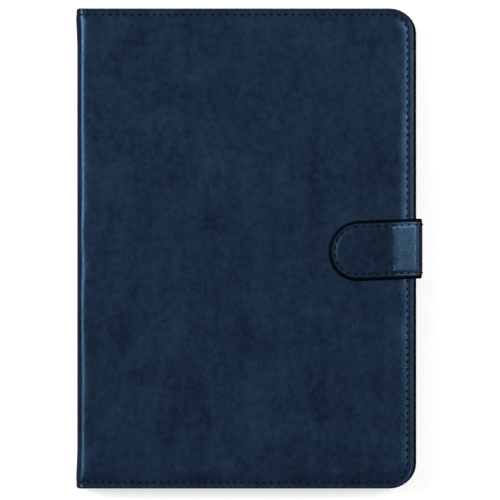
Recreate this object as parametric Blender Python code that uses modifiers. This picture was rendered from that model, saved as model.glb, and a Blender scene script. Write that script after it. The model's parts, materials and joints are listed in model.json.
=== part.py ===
"""Tablet keyboard case: a leather folio with a tray for a tablet and a removable keyboard.

The closed case lies on its back cover. +Z is up, -X is the spine, +X is the fore-edge where the
strap closes it, and +Y is the end where the keyboard's Escape key is. All sizes are in metres.
"""

import math

import bmesh
import bpy
from mathutils import Vector

for leftover in list(bpy.data.objects):
    bpy.data.objects.remove(leftover, do_unlink=True)

MM = 0.001
GAP = 0.2 * MM

# The closed folio
CASE_LENGTH = 256 * MM
CASE_DEPTH = 181 * MM
CASE_HEIGHT = 24.2 * MM
STRAP_REACH = 3.5 * MM
SPINE_X = -(CASE_DEPTH + STRAP_REACH) / 2
FORE_X = SPINE_X + CASE_DEPTH
FRONT_SET_BACK = 1.4 * MM
FRONT_FORE_X = FORE_X - FRONT_SET_BACK
FORE_CORNER = 13 * MM
SPINE_CORNER = 1.8 * MM

# Folds: each pivot is FOLD_RADIUS in from both outer faces, and each panel starts FOLD_SPARE past it
FOLD_RADIUS = 3 * MM
FOLD_SPARE = 1.3 * MM
PIVOT_X = SPINE_X + FOLD_RADIUS
BACK_PIVOT_Z = FOLD_RADIUS
FRONT_PIVOT_Z = CASE_HEIGHT - FOLD_RADIUS
PANEL_X = PIVOT_X + FOLD_SPARE

# Layers of the covers and the spine
BACK_THICK = 3 * MM
SKIN = 0.8 * MM
BOARD = 1.2 * MM
LINING = 0.6 * MM
FOAM = 0.8 * MM
TURNED_EDGE = 2.2 * MM
SPINE_EDGE = 1.6 * MM

# The steel plates under the front lining that the keyboard's magnets hold to
PLATE_THICK = 0.5 * MM
PLATE_DEPTH = 14 * MM
PLATE_LENGTH = 60 * MM

# The tray and the tablet that it holds
TABLET_LENGTH = 240 * MM
TABLET_DEPTH = 169.5 * MM
TABLET_THICK = 7.5 * MM
TABLET_PLAY = 0.3 * MM
TRAY_WALL = 1.2 * MM
TRAY_END_WALL = 1.5 * MM
TRAY_Z = 3.4 * MM
TRAY_TOP = 13.6 * MM
TRAY_FLOOR = 1.4 * MM
TRAY_LIP = 0.7 * MM
TRAY_LIP_REACH = 1.5 * MM
TRAY_CORNER = 7 * MM
TRAY_FORE_X = FORE_X - 2.4 * MM
TRAY_PIVOT = (TRAY_FORE_X + 0.15 * MM, 0, TRAY_Z)
FELT = 0.3 * MM
CAMERA = (TRAY_FORE_X - 12 * MM, 104 * MM)
CAMERA_RADIUS = 7.5 * MM

# The leather strip that joins the tray to the back cover
TRAY_HINGE_DEPTH = 22 * MM
TRAY_HINGE_LENGTH = 180 * MM
TRAY_HINGE_THICK = 0.7 * MM

# The strap: sewn to the front cover, it turns down over the fore-edge and holds by a magnet
STRAP_WIDTH = 32 * MM
STRAP_LEATHER = 1.6 * MM
STRAP_LINING = 0.6 * MM
STRAP_ON_COVER = 47 * MM
STRAP_RADIUS = 4 * MM
STRAP_SPARE = 1 * MM
STRAP_TOP = CASE_HEIGHT + GAP + STRAP_LINING + GAP + STRAP_LEATHER
STRAP_OUT_X = FORE_X + STRAP_REACH
STRAP_PIVOT = (STRAP_OUT_X - STRAP_RADIUS, 0, STRAP_TOP - STRAP_RADIUS)
STRAP_END_Z = 0.8 * MM
STRAP_MAGNET = (0.7 * MM, 22 * MM, 9 * MM)

# The keyboard lies keys down under the front cover
KEYBOARD_LENGTH = 236 * MM
KEYBOARD_DEPTH = 120 * MM
KEYBOARD_FORE_X = FORE_X - 6 * MM
KEYBOARD_X = KEYBOARD_FORE_X - KEYBOARD_DEPTH
KEY_TOP_Z = 14 * MM
KEY_STANDS_OUT = 0.9 * MM
TOP_PLATE = 0.8 * MM
CASE_SPLIT = 3.5 * MM
KEYBOARD_THICK = 5.9 * MM
BOTTOM_FLOOR = 0.8 * MM
KEYBOARD_WALL = 1.4 * MM
KEYBOARD_CORNER = 6 * MM
FOOT_RADIUS = 4 * MM
MAGNETS_Y = 73 * MM
SWITCH_TRAVEL = 3 * MM

# Keys, in units of the key pitch along each row
KEY_UNIT = 15.7 * MM
ROW_PITCH = 16.4 * MM
FUNCTION_ROW_PITCH = 11.2 * MM
KEY_SPACE = 2.4 * MM
KEY_CLEARANCE = 0.35 * MM
WEB_THICK = 0.3 * MM
WEB_DEPTH = 1.9 * MM
WEB_OVERHANG = 0.65 * MM
ROW_UNITS = 14.5
FRONT_MARGIN = 4 * MM

KEY_GROUPS = (
    ("row_function", 0, (ROW_UNITS / 14,) * 14),
    ("row_number", 1, (1,) * 13),
    ("key_backspace", 1, (1.5,)),
    ("key_tab", 2, (1.5,)),
    ("row_upper", 2, (1,) * 13),
    ("key_caps", 3, (1.75,)),
    ("row_home", 3, (1,) * 11),
    ("key_enter", 3, (1.75,)),
    ("key_shift_left", 4, (2.25,)),
    ("row_lower", 4, (1,) * 10),
    ("key_shift_right", 4, (2.25,)),
    ("row_control_left", 5, (1.125,) * 4),
    ("key_space", 5, (5,)),
    ("row_control_right", 5, (1,) * 5),
)

parts = bpy.data.collections.new("tablet_keyboard_case")
cutters = bpy.data.collections.new("cutters")
bpy.context.scene.collection.children.link(parts)
bpy.context.scene.collection.children.link(cutters)


# Materials

def material(name, color, roughness, metallic=0.0):
    made = bpy.data.materials.new(name)
    made.use_nodes = True
    shader = made.node_tree.nodes["Principled BSDF"]
    shader.inputs["Base Color"].default_value = (*color, 1)
    shader.inputs["Roughness"].default_value = roughness
    shader.inputs["Metallic"].default_value = metallic
    made.diffuse_color = (*color, 1)
    return made


LEATHER = material("navy_leather", (0.012, 0.024, 0.051), 0.45)
LINING_CLOTH = material("grey_lining", (0.05, 0.055, 0.065), 0.9)
BOARD_GREY = material("grey_board", (0.25, 0.23, 0.2), 0.8)
FOAM_WHITE = material("white_foam", (0.7, 0.7, 0.68), 0.9)
TRAY_PLASTIC = material("black_tray_plastic", (0.02, 0.02, 0.022), 0.4)
FELT_GREY = material("grey_felt", (0.08, 0.08, 0.085), 0.95)
STEEL = material("steel", (0.55, 0.55, 0.56), 0.35, 1.0)
MAGNET = material("nickel_magnet", (0.62, 0.6, 0.57), 0.25, 1.0)
SHELL_PLASTIC = material("black_keyboard_plastic", (0.018, 0.019, 0.022), 0.45)
KEY_PLASTIC = material("black_key_plastic", (0.012, 0.012, 0.014), 0.5)
SILICONE = material("grey_silicone", (0.35, 0.35, 0.36), 0.6)
CIRCUIT = material("green_circuit_board", (0.01, 0.09, 0.04), 0.4)
BATTERY = material("silver_battery_foil", (0.5, 0.51, 0.53), 0.4, 0.8)
LENS = material("clear_lens", (0.8, 0.85, 0.85), 0.1)
RUBBER = material("black_rubber", (0.015, 0.015, 0.016), 0.85)


# Placing and shaping

def pivot(name, place, parent=None):
    """An empty on a joint's axis."""
    empty = bpy.data.objects.new(name, None)
    empty.empty_display_size = 10 * MM
    parts.objects.link(empty)
    attach(empty, Vector(place), parent)
    return empty


def world_place(obj):
    place = Vector((0, 0, 0))
    while obj is not None:
        place += obj.location
        obj = obj.parent
    return place


def attach(obj, place, parent):
    obj.parent = parent
    obj.location = Vector(place) - world_place(parent)


def middle_and_size(spans):
    middle = Vector([(low + high) / 2 for low, high in spans])
    size = Vector([high - low for low, high in spans])
    return middle, size


def block_mesh(spans, about, fore_corner=0, spine_corner=0, segments=6):
    """A block between the given spans, in coordinates about a point, with its upright edges rounded."""
    middle, size = middle_and_size(spans)
    bm = bmesh.new()
    bmesh.ops.create_cube(bm, size=1)
    bmesh.ops.scale(bm, vec=size, verts=bm.verts)
    for radius, side in ((fore_corner, 1), (spine_corner, -1)):
        upright = [
            e for e in bm.edges
            if abs(e.verts[0].co.z - e.verts[1].co.z) > size.z / 2 and e.verts[0].co.x * side > 0
        ]
        if radius > 0:
            bmesh.ops.bevel(
                bm, geom=upright, offset=radius, segments=segments, profile=0.5, affect="EDGES",
                offset_type="OFFSET",
            )
    bmesh.ops.translate(bm, vec=middle - Vector(about), verts=bm.verts)
    return bm


def finish(name, bm, surface, place, parent):
    mesh = bpy.data.meshes.new(name)
    bm.to_mesh(mesh)
    bm.free()
    obj = bpy.data.objects.new(name, mesh)
    parts.objects.link(obj)
    attach(obj, place, parent)
    mesh.materials.append(surface)
    return obj


def block(name, x, y, z, surface, parent=None, fore_corner=0, spine_corner=0, segments=6):
    middle, _ = middle_and_size((x, y, z))
    bm = block_mesh((x, y, z), middle, fore_corner, spine_corner, segments)
    return finish(name, bm, surface, middle, parent)


def disc(name, center, z, radius, surface, parent=None, segments=20):
    place = Vector((center[0], center[1], (z[0] + z[1]) / 2))
    bm = bmesh.new()
    bmesh.ops.create_cone(
        bm, cap_ends=True, segments=segments, radius1=radius, radius2=radius, depth=z[1] - z[0]
    )
    return finish(name, bm, surface, place, parent)


def as_cutter(obj):
    parts.objects.unlink(obj)
    cutters.objects.link(obj)
    obj.hide_render = True
    obj.display_type = "WIRE"
    return obj


def boolean(obj, operand, operation):
    modifier = obj.modifiers.new(operand.name, "BOOLEAN")
    modifier.operation = operation
    modifier.solver = "EXACT"
    modifier.object = operand


def cut_block(obj, name, x, y, z, fore_corner=0, spine_corner=0, segments=6):
    cutter = block(name, x, y, z, obj.data.materials[0], obj.parent, fore_corner, spine_corner, segments)
    boolean(obj, as_cutter(cutter), "DIFFERENCE")


def cut_disc(obj, name, center, z, radius, segments=24):
    cutter = disc(name, center, z, radius, obj.data.materials[0], obj.parent, segments)
    boolean(obj, as_cutter(cutter), "DIFFERENCE")


def inset(span, amount):
    return span[0] + amount, span[1] - amount


def both_sides(half):
    return -half, half


# Leather folds

def fold_path(center, radius, start, end, spare_start, spare_end, steps=6):
    """An arc about a pivot in the XZ plane with a straight lead at each end. Angles are in degrees."""
    points = []
    for i in range(steps + 1):
        angle = math.radians(start + (end - start) * i / steps)
        points.append(Vector((math.cos(angle), 0, math.sin(angle))) * radius)
    turn = math.copysign(1, end - start)

    def along(angle):
        angle = math.radians(angle)
        return Vector((-math.sin(angle), 0, math.cos(angle))) * turn

    points.insert(0, points[0] - along(start) * spare_start)
    points.append(points[-1] + along(end) * spare_end)
    return [Vector(center) + p for p in points]


def strip(name, path, half_length, thick, surface, parent):
    """A strip of sheet that follows a path, as long as the fold along Y, thickened inwards."""
    about = world_place(parent)
    bm = bmesh.new()
    row = [bm.verts.new(p - about + Vector((0, -half_length, 0))) for p in path]
    edges = [bm.edges.new(pair) for pair in zip(row, row[1:])]
    swept = bmesh.ops.extrude_edge_only(bm, edges=edges)["geom"]
    moved = [v for v in swept if isinstance(v, bmesh.types.BMVert)]
    bmesh.ops.translate(bm, vec=Vector((0, 2 * half_length, 0)), verts=moved)
    bm.normal_update()
    center = sum((p for p in path), Vector()) / len(path)
    bend = path[len(path) // 2]
    outward = bend - center
    if bm.faces[:][len(path) // 2].normal.dot(outward) < 0:
        bmesh.ops.reverse_faces(bm, faces=bm.faces)
    obj = finish(name, bm, surface, about, parent)
    shell = obj.modifiers.new("thickness", "SOLIDIFY")
    shell.thickness = thick
    shell.offset = -1
    return obj


# Bodies

spine_pivot = pivot("spine_fold_axis", (PIVOT_X, 0, BACK_PIVOT_Z))
cover_pivot = pivot("cover_fold_axis", (PIVOT_X, 0, FRONT_PIVOT_Z), spine_pivot)
strap_pivot = pivot("strap_fold_axis", STRAP_PIVOT, cover_pivot)
tray_pivot = pivot("tray_tilt_axis", TRAY_PIVOT)
keyboard_home = pivot("keyboard_slide_axis", (KEYBOARD_X, 0, KEY_TOP_Z), cover_pivot)

LENGTH = both_sides(CASE_LENGTH / 2)


def lined_cover(prefix, panel, outer_z, step, layers, parent):
    """A cover: a skin turned over around its edges, with boards inside and a lining that closes it.

    outer_z is the outer face and step is +1 when the layers go up from it, or -1 when they go down.
    """
    def span(start, thick):
        ends = outer_z + step * start, outer_z + step * (start + thick)
        return min(ends), max(ends)

    total = sum(thick for _, thick, _ in layers) + GAP * (len(layers) - 1)
    skin = block(
        f"{prefix}_skin", panel, LENGTH, span(0, total), LEATHER, parent, FORE_CORNER, SPINE_CORNER,
    )
    inner_x, inner_y = inset(panel, TURNED_EDGE), inset(LENGTH, TURNED_EDGE)
    inner_corners = FORE_CORNER - TURNED_EDGE, SPINE_CORNER / 2
    cut_block(skin, f"{prefix}_skin_hollow", inner_x, inner_y, span(layers[0][1], total), *inner_corners)
    made = [skin]
    depth = layers[0][1] + GAP
    for layer, thick, surface in layers[1:]:
        made.append(block(
            f"{prefix}_{layer}", inset(inner_x, GAP), inset(inner_y, GAP), span(depth, thick), surface,
            parent, *inner_corners,
        ))
        depth += thick + GAP
    return made


back = lined_cover("back", (PANEL_X, FORE_X), 0, 1, (
    ("skin", SKIN, LEATHER),
    ("board", BOARD, BOARD_GREY),
    ("lining", LINING, LINING_CLOTH),
), None)
for layer in back:
    cut_disc(layer, f"{layer.name}_camera_hole", CAMERA, (-2 * MM, 6 * MM), CAMERA_RADIUS)

front = lined_cover("front", (PANEL_X, FRONT_FORE_X), CASE_HEIGHT, -1, (
    ("skin", SKIN, LEATHER),
    ("foam", FOAM, FOAM_WHITE),
    ("board", BOARD, BOARD_GREY),
    ("lining", LINING, LINING_CLOTH),
), cover_pivot)

# The steel plates in the front cover, over the keyboard's magnets
front_board = front[2]
board_inner_z = CASE_HEIGHT - SKIN - GAP - FOAM - GAP - BOARD
for side, name in ((1, "left"), (-1, "right")):
    plate_y = side * MAGNETS_Y
    plate_x = KEYBOARD_X + 10 * MM
    span_x = plate_x - PLATE_DEPTH / 2, plate_x + PLATE_DEPTH / 2
    span_y = plate_y - PLATE_LENGTH / 2, plate_y + PLATE_LENGTH / 2
    span_z = board_inner_z, board_inner_z + PLATE_THICK
    cut_block(
        front_board, f"plate_pocket_{name}", inset(span_x, -GAP), inset(span_y, -GAP),
        (span_z[0] - PLATE_THICK, span_z[1] + GAP),
    )
    block(f"cover_plate_{name}", span_x, span_y, span_z, STEEL, cover_pivot)

# The spine
SPINE_SPAN_Z = BACK_PIVOT_Z + FOLD_SPARE, FRONT_PIVOT_Z - FOLD_SPARE
SPINE_THICK = SKIN + GAP + BOARD + GAP + LINING
spine_skin = block(
    "spine_skin", (SPINE_X, SPINE_X + SPINE_THICK), LENGTH, SPINE_SPAN_Z, LEATHER, spine_pivot,
)
spine_inner_y, spine_inner_z = inset(LENGTH, SPINE_EDGE), inset(SPINE_SPAN_Z, SPINE_EDGE)
cut_block(
    spine_skin, "spine_skin_hollow", (SPINE_X + SKIN, SPINE_X + SPINE_THICK + SKIN), spine_inner_y,
    spine_inner_z,
)
spine_board_x = SPINE_X + SKIN + GAP
spine_lining_x = spine_board_x + BOARD + GAP
block(
    "spine_board", (spine_board_x, spine_board_x + BOARD), inset(spine_inner_y, GAP),
    inset(spine_inner_z, GAP), BOARD_GREY, spine_pivot,
)
block(
    "spine_lining", (spine_lining_x, spine_lining_x + LINING), inset(spine_inner_y, GAP),
    inset(spine_inner_z, GAP), LINING_CLOTH, spine_pivot,
)

# The soft folds between back cover, spine and front cover
FOLD_LEAD = FOLD_SPARE - GAP
back_fold_path = fold_path((PIVOT_X, 0, BACK_PIVOT_Z), FOLD_RADIUS, 270, 180, FOLD_LEAD, FOLD_LEAD)
front_fold_path = fold_path((PIVOT_X, 0, FRONT_PIVOT_Z), FOLD_RADIUS, 180, 90, FOLD_LEAD, FOLD_LEAD)
FOLD_HALF = CASE_LENGTH / 2 - SPINE_CORNER / 2
strip("back_fold", back_fold_path, FOLD_HALF, SKIN, LEATHER, spine_pivot)
strip("front_fold", front_fold_path, FOLD_HALF, SKIN, LEATHER, cover_pivot)


# The tray

def build_tray():
    """A shell that the tablet snaps into, with felt on its floor and a steel strip for the strap's magnet."""
    x = TRAY_FORE_X - TABLET_DEPTH - 2 * TABLET_PLAY - 2 * TRAY_WALL, TRAY_FORE_X
    y = both_sides(TABLET_LENGTH / 2 + TABLET_PLAY + TRAY_END_WALL)
    hollow_x, hollow_y = inset(x, TRAY_WALL), inset(y, TRAY_END_WALL)
    inner_corner = TRAY_CORNER - TRAY_WALL
    shell = block("tray_shell", x, y, (TRAY_Z, TRAY_TOP), TRAY_PLASTIC, tray_pivot, TRAY_CORNER, TRAY_CORNER)
    floor_z = TRAY_Z + TRAY_FLOOR
    cut_block(
        shell, "tray_hollow", hollow_x, hollow_y, (floor_z, TRAY_TOP - TRAY_LIP), inner_corner, inner_corner,
    )
    cut_block(
        shell, "tray_mouth", inset(hollow_x, TRAY_LIP_REACH), inset(hollow_y, TRAY_LIP_REACH),
        (floor_z + 1 * MM, TRAY_TOP + 1 * MM), inner_corner, inner_corner,
    )
    recess_x = TRAY_FORE_X - TRAY_HINGE_DEPTH - 1 * MM, TRAY_FORE_X + 1 * MM
    recess_z = TRAY_Z - 1 * MM, TRAY_Z + 0.7 * MM
    cut_block(shell, "tray_hinge_recess", recess_x, both_sides(TRAY_HINGE_LENGTH / 2 + 1 * MM), recess_z)
    cut_disc(shell, "tray_camera_hole", CAMERA, (TRAY_Z - 1 * MM, floor_z + 1 * MM), CAMERA_RADIUS)
    middle = (x[0] + x[1]) / 2
    window_z = floor_z + 1.2 * MM, TRAY_TOP - TRAY_LIP - 1 * MM
    end = y[1]
    windows = {
        "charging_window": ((middle - 8 * MM, middle + 8 * MM), (-end - 1 * MM, -end + 3 * MM)),
        "speaker_window_low": ((middle - 62 * MM, middle - 34 * MM), (-end - 1 * MM, -end + 3 * MM)),
        "speaker_window_high": ((middle + 34 * MM, middle + 62 * MM), (-end - 1 * MM, -end + 3 * MM)),
        "headphone_window": ((x[0] + 14 * MM, x[0] + 24 * MM), (end - 3 * MM, end + 1 * MM)),
        "power_button_window": ((x[1] - 34 * MM, x[1] - 16 * MM), (end - 3 * MM, end + 1 * MM)),
        "volume_window": ((x[1] - 3 * MM, x[1] + 1 * MM), (end - 66 * MM, end - 34 * MM)),
    }
    for name, (window_x, window_y) in windows.items():
        cut_block(shell, name, window_x, window_y, window_z)
    felt = block(
        "tray_felt", inset(hollow_x, 2 * MM), inset(hollow_y, 2 * MM),
        (floor_z + GAP, floor_z + GAP + FELT), FELT_GREY, tray_pivot, inner_corner, inner_corner,
    )
    cut_disc(felt, "felt_camera_hole", CAMERA, (floor_z - 1 * MM, floor_z + 2 * MM), CAMERA_RADIUS + 1 * MM)
    block(
        "tray_keeper", (TRAY_FORE_X + GAP, TRAY_FORE_X + GAP + 0.6 * MM), both_sides(13 * MM),
        (TRAY_Z + 1.2 * MM, TRAY_TOP - 1 * MM), STEEL, tray_pivot,
    )


build_tray()
hinge_x = TRAY_FORE_X - TRAY_HINGE_DEPTH, TRAY_FORE_X - 0.5 * MM
hinge_z = BACK_THICK + GAP, BACK_THICK + GAP + TRAY_HINGE_THICK
block("tray_hinge", hinge_x, both_sides(TRAY_HINGE_LENGTH / 2), hinge_z, LEATHER)


# The strap

def build_strap():
    """The part sewn on the cover with its round end, the bend over the fore-edge and the hanging part."""
    half = STRAP_WIDTH / 2
    on_cover = STRAP_PIVOT[0] - STRAP_ON_COVER + STRAP_SPARE, STRAP_PIVOT[0] - STRAP_SPARE
    lining_z = CASE_HEIGHT + GAP, CASE_HEIGHT + GAP + STRAP_LINING
    leather_z = lining_z[1] + GAP, STRAP_TOP
    round_end = half - 0.5 * MM
    block(
        "strap_patch_lining", inset(on_cover, GAP), both_sides(half - GAP), lining_z, LINING_CLOTH,
        cover_pivot, 0, round_end - GAP, 10,
    )
    block("strap_patch", on_cover, both_sides(half), leather_z, LEATHER, cover_pivot, 0, round_end, 10)
    hanging_z = STRAP_END_Z, STRAP_PIVOT[2] - STRAP_SPARE
    leather_x = STRAP_OUT_X - STRAP_LEATHER, STRAP_OUT_X
    side = block("strap_side", leather_x, both_sides(half), hanging_z, LEATHER, strap_pivot)
    thick, long, tall = STRAP_MAGNET
    magnet_x = leather_x[0] + GAP / 2, leather_x[0] + GAP / 2 + thick
    magnet_z = TRAY_Z + 0.6 * MM, TRAY_Z + 0.6 * MM + tall
    cut_block(
        side, "strap_magnet_pocket", (leather_x[0] - 1 * MM, magnet_x[1] + GAP), both_sides(long / 2 + GAP),
        inset(magnet_z, -GAP),
    )
    block("strap_magnet", magnet_x, both_sides(long / 2), magnet_z, MAGNET, strap_pivot)
    lining_x = leather_x[0] - GAP - STRAP_LINING, leather_x[0] - GAP
    block(
        "strap_side_lining", lining_x, both_sides(half - GAP), inset(hanging_z, GAP), LINING_CLOTH,
        strap_pivot,
    )
    lead = STRAP_SPARE - GAP
    bend = fold_path(STRAP_PIVOT, STRAP_RADIUS, 90, 0, lead, lead)
    strip("strap_bend", bend, half, STRAP_LEATHER, LEATHER, strap_pivot)


build_strap()


# The keyboard. Depths are measured up from the tops of its keys.

def depth_span(start, end):
    return KEY_TOP_Z + start, KEY_TOP_Z + end


def row_span(row):
    """A row's extent along X. Row 0 is the function row, nearest the spine."""
    bottom = KEYBOARD_FORE_X - FRONT_MARGIN
    end = bottom - (5 - row) * ROW_PITCH
    pitch = ROW_PITCH
    if row == 0:
        pitch = FUNCTION_ROW_PITCH
    return end - pitch + KEY_SPACE / 2, end - KEY_SPACE / 2


def key_spans():
    """Each group's keys as spans along Y, filled from the Escape end of every row."""
    filled = {}
    groups = []
    for name, row, units in KEY_GROUPS:
        at = filled.get(row, 0)
        spans = []
        for unit in units:
            left = (ROW_UNITS / 2 - at) * KEY_UNIT
            spans.append((left - unit * KEY_UNIT + KEY_SPACE / 2, left - KEY_SPACE / 2))
            at += unit
        filled[row] = at
        groups.append((name, row_span(row), spans))
    return groups


def joined_blocks(name, spans, surface, parent, taper=0):
    """Several blocks as one mesh, for one Boolean. taper narrows their lower faces."""
    about = world_place(parent)
    bm = bmesh.new()
    for x, y, z in spans:
        middle, size = middle_and_size((x, y, z))
        made = bmesh.ops.create_cube(bm, size=1)["verts"]
        bmesh.ops.scale(bm, vec=size, verts=made)
        for vert in made:
            if vert.co.z < 0:
                vert.co.x -= math.copysign(taper, vert.co.x)
                vert.co.y -= math.copysign(taper, vert.co.y)
        bmesh.ops.translate(bm, vec=middle - about, verts=made)
    return as_cutter(finish(name, bm, surface, about, parent))


def build_keyboard():
    """The two halves of the keyboard's case, its keys and what is inside."""
    x = KEYBOARD_X, KEYBOARD_FORE_X
    y = both_sides(KEYBOARD_LENGTH / 2)
    corners = KEYBOARD_CORNER, KEYBOARD_CORNER
    inner_x, inner_y = inset(x, KEYBOARD_WALL), inset(y, KEYBOARD_WALL)
    inner = KEYBOARD_CORNER - KEYBOARD_WALL, KEYBOARD_CORNER - KEYBOARD_WALL
    plate_end = KEY_STANDS_OUT + TOP_PLATE
    top = block(
        "keyboard_top", x, y, depth_span(KEY_STANDS_OUT, CASE_SPLIT), SHELL_PLASTIC, keyboard_home, *corners
    )
    cut_block(
        top, "keyboard_top_hollow", inner_x, inner_y, depth_span(plate_end, CASE_SPLIT + 1 * MM), *inner,
    )
    bottom = block(
        "keyboard_bottom", x, y, depth_span(CASE_SPLIT + GAP, KEYBOARD_THICK), SHELL_PLASTIC, keyboard_home,
        *corners,
    )
    floor = KEYBOARD_THICK - BOTTOM_FLOOR
    cut_block(
        bottom, "keyboard_bottom_hollow", inner_x, inner_y, depth_span(CASE_SPLIT - 1 * MM, floor), *inner,
    )

    groups = key_spans()
    holes = [
        (inset(span_x, -KEY_CLEARANCE), inset(span_y, -KEY_CLEARANCE), depth_span(0, plate_end + 0.5 * MM))
        for _, span_x, spans in groups for span_y in spans
    ]
    boolean(top, joined_blocks("key_openings", holes, SHELL_PLASTIC, keyboard_home), "DIFFERENCE")
    for name, span_x, spans in groups:
        build_keys(name, span_x, spans)
    build_electronics(top, bottom, groups, inner_x, inner_y)


def build_keys(name, span_x, spans):
    """A group of keycaps on one web. Its parent empty is on its slide's axis."""
    group_y = min(s[0] for s in spans), max(s[1] for s in spans)
    home = pivot(f"{name}_axis", (sum(span_x) / 2, sum(group_y) / 2, KEY_TOP_Z), keyboard_home)
    web = block(
        name, inset(span_x, -WEB_OVERHANG), inset(group_y, -WEB_OVERHANG),
        depth_span(WEB_DEPTH, WEB_DEPTH + WEB_THICK), KEY_PLASTIC, home,
    )
    caps = [(span_x, span_y, depth_span(0, WEB_DEPTH + WEB_THICK / 2)) for span_y in spans]
    boolean(web, joined_blocks(f"{name}_caps", caps, KEY_PLASTIC, home, 0.45 * MM), "UNION")


def build_electronics(top, bottom, groups, inner_x, inner_y):
    """Domes, circuit, battery, magnets, socket, lens, switch, button and feet, with their openings."""
    board_x = row_span(0)[0] - 1 * MM, inner_x[1] - GAP
    board_y = inset(inner_y, GAP)
    sheet = block(
        "keyboard_domes", inset(board_x, 1 * MM), inset(board_y, 2 * MM), depth_span(3.85 * MM, 4.1 * MM),
        SILICONE, keyboard_home, KEYBOARD_CORNER,
    )
    domes = []
    dome_half = 2.2 * MM
    for _, span_x, spans in groups:
        for span_y in spans:
            at_x, at_y = sum(span_x) / 2, sum(span_y) / 2
            domes.append((
                (at_x - dome_half, at_x + dome_half), (at_y - dome_half, at_y + dome_half),
                depth_span(3.55 * MM, 4 * MM),
            ))
    boolean(sheet, joined_blocks("dome_caps", domes, SILICONE, keyboard_home, 0.8 * MM), "UNION")
    block(
        "keyboard_circuit", board_x, board_y, depth_span(4.3 * MM, 4.9 * MM), CIRCUIT, keyboard_home,
        KEYBOARD_CORNER,
    )

    strip_x = inner_x[0] + 1.2 * MM, board_x[0] - 1 * MM
    block(
        "keyboard_battery", strip_x, both_sides(40 * MM), depth_span(2.1 * MM, 4.9 * MM), BATTERY,
        keyboard_home,
    )
    margin_x = (KEYBOARD_X + row_span(0)[0]) / 2

    # Four magnets under the floor, opposite the steel plates in the cover
    for side, end in ((1, "left"), (-1, "right")):
        for place, offset in (("outer", 18 * MM), ("inner", -18 * MM)):
            center_y = side * (MAGNETS_Y + offset)
            span_y = center_y - 9 * MM, center_y + 9 * MM
            span_x = margin_x - 3.5 * MM, margin_x + 3.5 * MM
            block(
                f"keyboard_magnet_{end}_{place}", span_x, span_y, depth_span(3.1 * MM, 4.9 * MM), MAGNET,
                keyboard_home,
            )

    # Charging socket in the edge that faces the spine
    socket_y = MAGNETS_Y
    socket_z = depth_span(2.2 * MM, 4.8 * MM)
    socket_span = socket_y - 4 * MM, socket_y + 4 * MM
    for shell in (top, bottom):
        cut_block(
            shell, f"{shell.name}_socket_window", (KEYBOARD_X - 1 * MM, inner_x[0] + 1 * MM),
            inset(socket_span, -GAP), inset(socket_z, -GAP),
        )
    socket = block(
        "keyboard_socket", (KEYBOARD_X + 0.1 * MM, KEYBOARD_X + 5.6 * MM), socket_span, socket_z, STEEL,
        keyboard_home,
    )
    cut_block(
        socket, "socket_mouth", (KEYBOARD_X - 1 * MM, KEYBOARD_X + 5 * MM), inset(socket_span, 0.4 * MM),
        inset(socket_z, 0.4 * MM),
    )

    # Status lens, power switch and connect button in the strip above the function row
    lens_y = -MAGNETS_Y
    plate_z = depth_span(KEY_STANDS_OUT, KEY_STANDS_OUT + TOP_PLATE)
    through_z = depth_span(0, KEY_STANDS_OUT + TOP_PLATE + 0.5 * MM)
    lens_x = margin_x - 0.8 * MM, margin_x + 0.8 * MM
    lens_span = lens_y - 6 * MM, lens_y + 6 * MM
    lens_z = plate_z[0] + 0.05 * MM, plate_z[1] + 0.6 * MM
    cut_block(top, "lens_window", inset(lens_x, -GAP), inset(lens_span, -GAP), through_z)
    block("status_lens", lens_x, lens_span, lens_z, LENS, keyboard_home)

    switch_y = KEYBOARD_LENGTH / 2 - 14 * MM
    switch_x = margin_x - 1.6 * MM, margin_x + 1.6 * MM
    switch_span = switch_y - 2.2 * MM, switch_y + 2.2 * MM
    slot = switch_span[0] - SWITCH_TRAVEL - GAP, switch_span[1] + GAP
    cut_block(top, "switch_window", inset(switch_x, -GAP), slot, through_z)
    switch_home = pivot("power_switch_axis", (margin_x, switch_y, plate_z[0]), keyboard_home)
    block("power_switch", switch_x, switch_span, depth_span(0.35 * MM, 2.6 * MM), RUBBER, switch_home)

    button_y = -(KEYBOARD_LENGTH / 2 - 14 * MM)
    cut_disc(top, "connect_window", (margin_x, button_y), through_z, 2.4 * MM)
    button_home = pivot("connect_button_axis", (margin_x, button_y, plate_z[0]), keyboard_home)
    disc(
        "connect_button", (margin_x, button_y), depth_span(0.45 * MM, 2.3 * MM), 2.4 * MM - GAP,
        KEY_PLASTIC, button_home, 24,
    )

    # Rubber feet let into the floor, towards the cover
    foot_z = depth_span(KEYBOARD_THICK - 0.4 * MM, KEYBOARD_THICK + 0.15 * MM)
    foot_inset = 11 * MM
    for side_x, row_name in ((1, "fore"), (-1, "spine")):
        for side_y, end in ((1, "left"), (-1, "right")):
            foot_x = (KEYBOARD_X + KEYBOARD_FORE_X) / 2 + side_x * (KEYBOARD_DEPTH / 2 - foot_inset)
            foot_y = side_y * (KEYBOARD_LENGTH / 2 - foot_inset)
            name = f"keyboard_foot_{row_name}_{end}"
            cut_disc(
                bottom, f"{name}_seat", (foot_x, foot_y), (foot_z[0] - GAP, foot_z[1] + 1 * MM),
                FOOT_RADIUS + GAP,
            )
            disc(name, (foot_x, foot_y), foot_z, FOOT_RADIUS, RUBBER, keyboard_home)


build_keyboard()
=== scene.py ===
"""Looks of the tablet keyboard case: leather, stitching, strap, lining, tray and keyboard.

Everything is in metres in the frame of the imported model: +Z up out of the closed front cover, -X the
spine, +X the fore-edge, +Y the end where the keyboard's Escape key is.
"""

import json
import math

import bmesh
import bpy
import numpy as np
from mathutils import Matrix, Vector


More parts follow.
